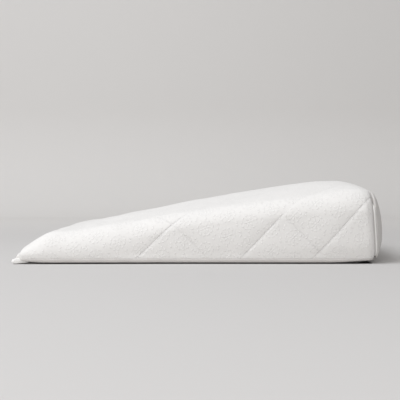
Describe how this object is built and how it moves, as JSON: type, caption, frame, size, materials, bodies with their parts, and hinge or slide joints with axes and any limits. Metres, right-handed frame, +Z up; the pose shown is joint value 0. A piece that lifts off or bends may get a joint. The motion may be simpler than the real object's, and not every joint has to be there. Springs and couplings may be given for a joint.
{
  "type": "wedge pillow",
  "caption": "Foam wedge pillow in a quilted knit cover, rising from a blunt toe to a thick end with a seamed panel, for raising a sleeper's head or legs.",
  "frame": {"origin": "on the resting surface, under the middle of the whole pillow's box", "axes": "+X runs from the thin toe to the thick end, +Y from the near side to the far side, +Z up"},
  "size_m": [0.653, 0.6025, 0.1406],
  "materials": {
    "quilted_knit": "white quilted jacquard knit, matt",
    "plain_knit": "white plain knit, matt",
    "seam_knit": "white knit folded into a sewn seam, matt"
  },
  "bodies": {
    "root": {"quilted_body": "quilted_knit", "base_panel": "plain_knit", "end_seam": "seam_knit", "end_panel": "plain_knit", "toe_ear_near": "seam_knit", "toe_ear_far": "seam_knit"}
  },
  "joints": []
}
